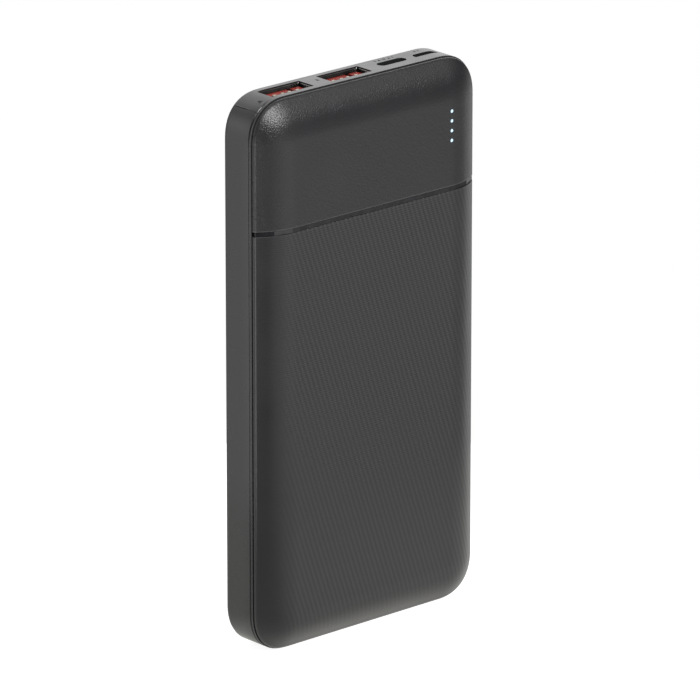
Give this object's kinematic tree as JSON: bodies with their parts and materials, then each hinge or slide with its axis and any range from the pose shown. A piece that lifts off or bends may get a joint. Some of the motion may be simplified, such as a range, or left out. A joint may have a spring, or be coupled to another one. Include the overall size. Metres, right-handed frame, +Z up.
{
  "type": "power bank",
  "caption": "Slim pocket power bank with domed front and rear covers, a ribbed front, charge lights, a side button and USB ports along its top edge.",
  "frame": {"origin": "centre of the bottom edge, midway between the front and rear covers", "axes": "+X across the width to the right seen from the front, -Y out of the ribbed front, +Z up towards the ports"},
  "size_m": [0.0684, 0.0172, 0.1342],
  "materials": {
    "case": "fine matte moulded texture, dark graphite",
    "band": "satin moulded plastic, dark graphite",
    "gloss": "polished black inlay",
    "button": "satin",
    "light": "clear light guide, lit cool white",
    "steel": "stamped and plated sheet",
    "tongue": "orange-red moulded insulator",
    "black_plastic": "moulded insulator",
    "contact": "gold-flashed contact",
    "board": "solder-masked laminate",
    "chip": "moulded package",
    "ferrite": "pressed ferrite",
    "capacitor": "ceramic body",
    "led": "diode with a phosphor window",
    "pouch": "laminated foil pouch",
    "nickel": "nickel strip",
    "foam": "closed-cell foam",
    "red_wire": "silicone insulation",
    "black_wire": "silicone insulation"
  },
  "bodies": {
    "case": {"accent_strip": "gloss", "battery_cell_front": "pouch", "battery_cell_rear": "pouch", "board_screw_1": "steel", "board_screw_2": "steel", "capacitor_1": "capacitor", "capacitor_2": "capacitor", "charge_led_1": "led", "charge_led_2": "led", "charge_led_3": "led", "charge_led_4": "led", "charger_chip": "chip", "controller_chip": "chip", "foam_pad_front": "foam", "foam_pad_rear": "foam", "front_cover": "case", "inductor": "ferrite", "light_guide": "light", "main_board": "board", "micro_usb_shell": "steel", "micro_usb_tongue": "black_plastic", "negative_lead": "black_wire", "negative_tab": "nickel", "port_panel": "band", "positive_lead": "red_wire", "positive_tab": "nickel", "protection_board": "board", "rear_cover": "case", "side_band": "band", "switch_body": "steel", "usb_a_1_contact_1": "contact", "usb_a_1_contact_2": "contact", "usb_a_1_contact_3": "contact", "usb_a_1_contact_4": "contact", "usb_a_1_shell": "steel", "usb_a_1_tongue": "tongue", "usb_a_2_contact_1": "contact", "usb_a_2_contact_2": "contact", "usb_a_2_contact_3": "contact", "usb_a_2_contact_4": "contact", "usb_a_2_shell": "steel", "usb_a_2_tongue": "tongue", "usb_c_shell": "steel", "usb_c_tongue": "black_plastic"},
    "button": {"power_button": "button", "switch_plunger": "black_plastic"}
  },
  "joints": [
    {"name": "button_press", "type": "slide", "parent": "case", "child": "button", "axis": [-1, 0, 0], "range_m": [0, 0.0003], "stiffness_N_per_m": 2500, "springref_m": -0.0004}
  ]
}
